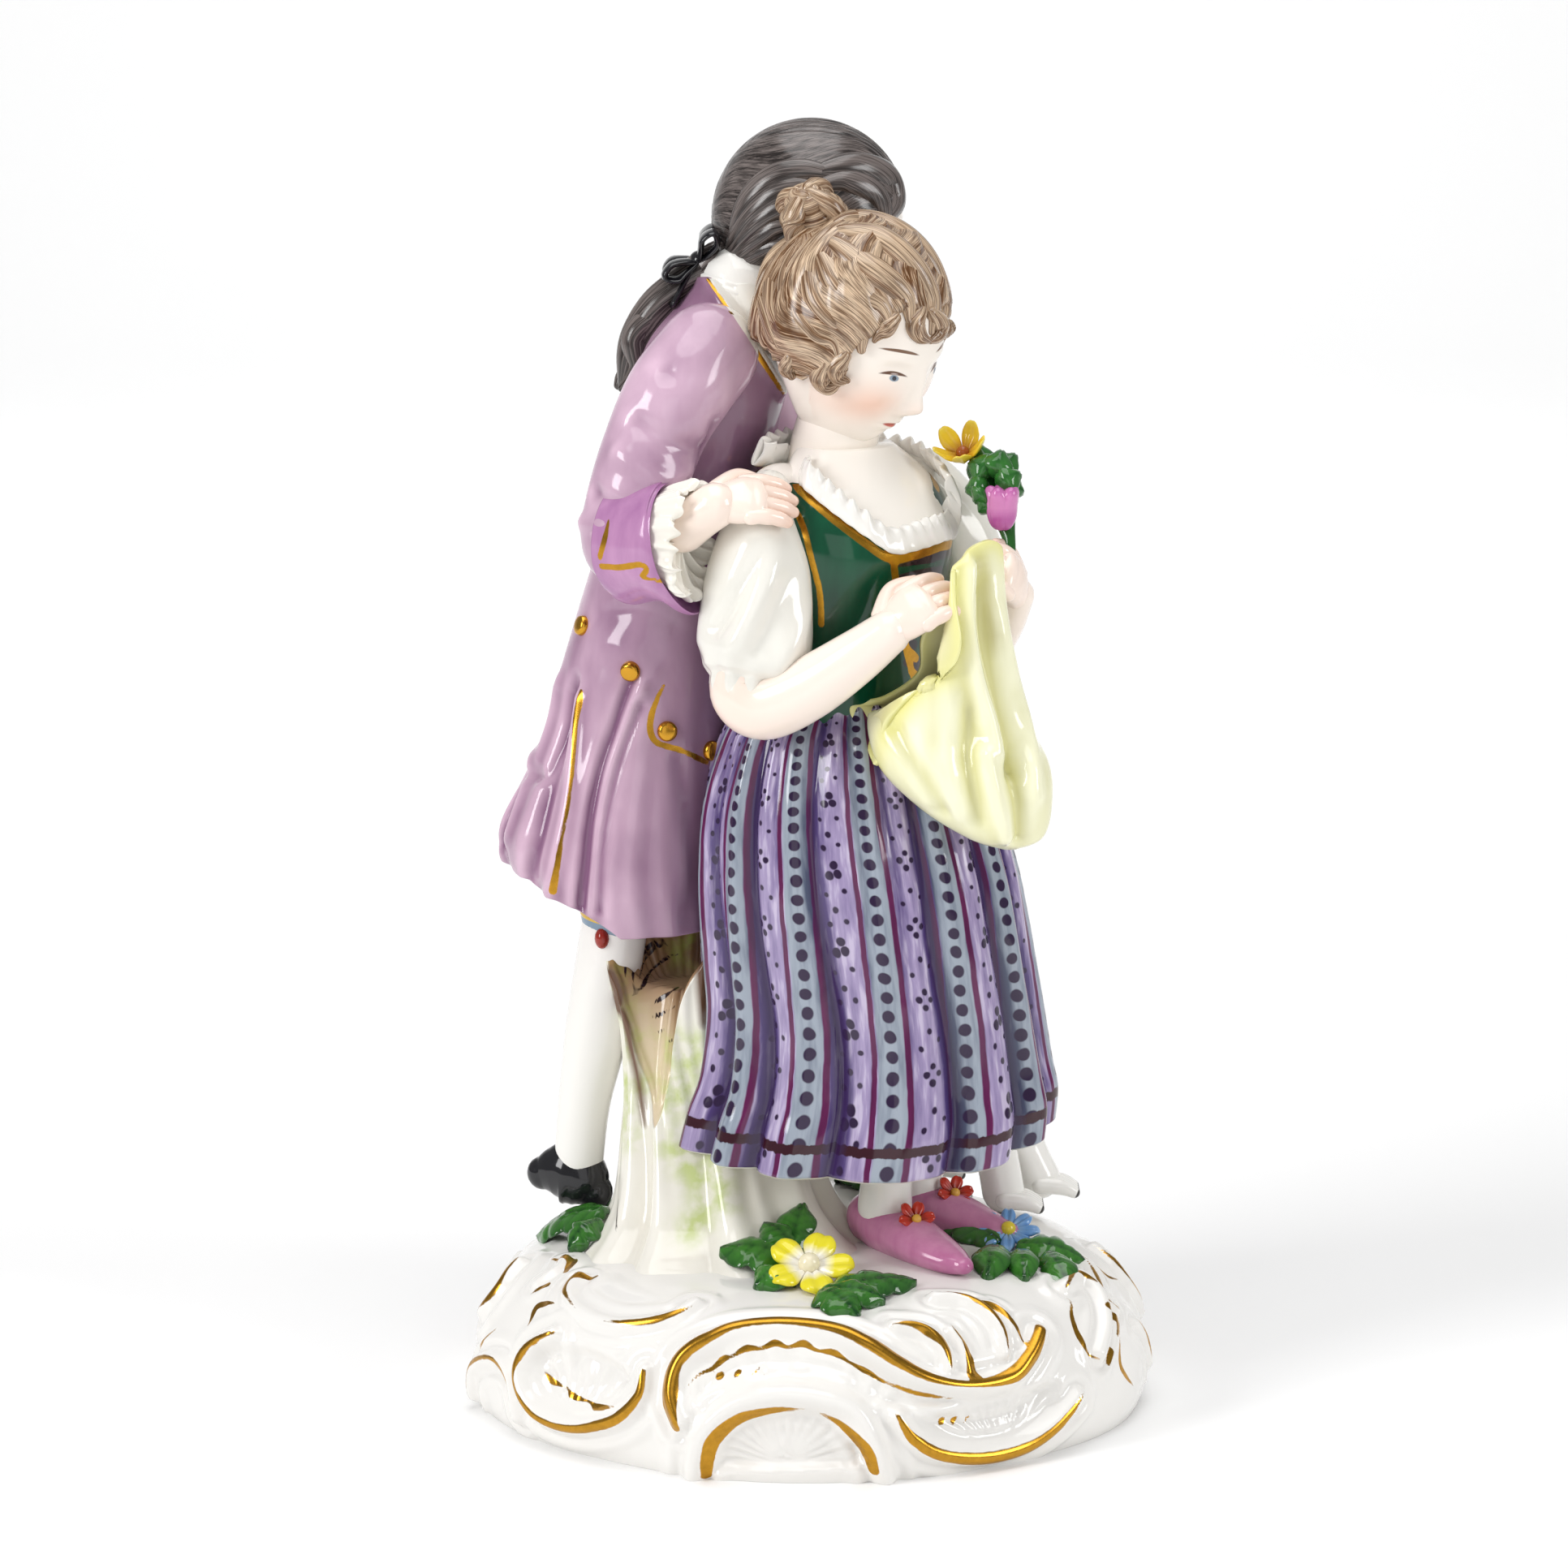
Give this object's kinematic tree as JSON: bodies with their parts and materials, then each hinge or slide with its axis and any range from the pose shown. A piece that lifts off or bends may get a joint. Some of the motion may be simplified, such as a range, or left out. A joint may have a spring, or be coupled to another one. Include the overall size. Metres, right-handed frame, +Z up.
{
  "type": "porcelain courting couple figurine",
  "caption": "Glazed porcelain group of a youth in a frock coat bending over a girl who holds up her apron, by a stump on a scrolled rococo base.",
  "frame": {"origin": "centre of the flat underside, on the surface the group stands on", "axes": "+Z up, +X to the right as the girl's skirt and apron face the viewer, +Y away from the viewer"},
  "size_m": [0.0873, 0.0806, 0.1638],
  "materials": {
    "porcelain": "white glaze with overglaze enamel painting and gilding"
  },
  "bodies": {
    "root": {"figure_group": "porcelain"}
  },
  "joints": []
}
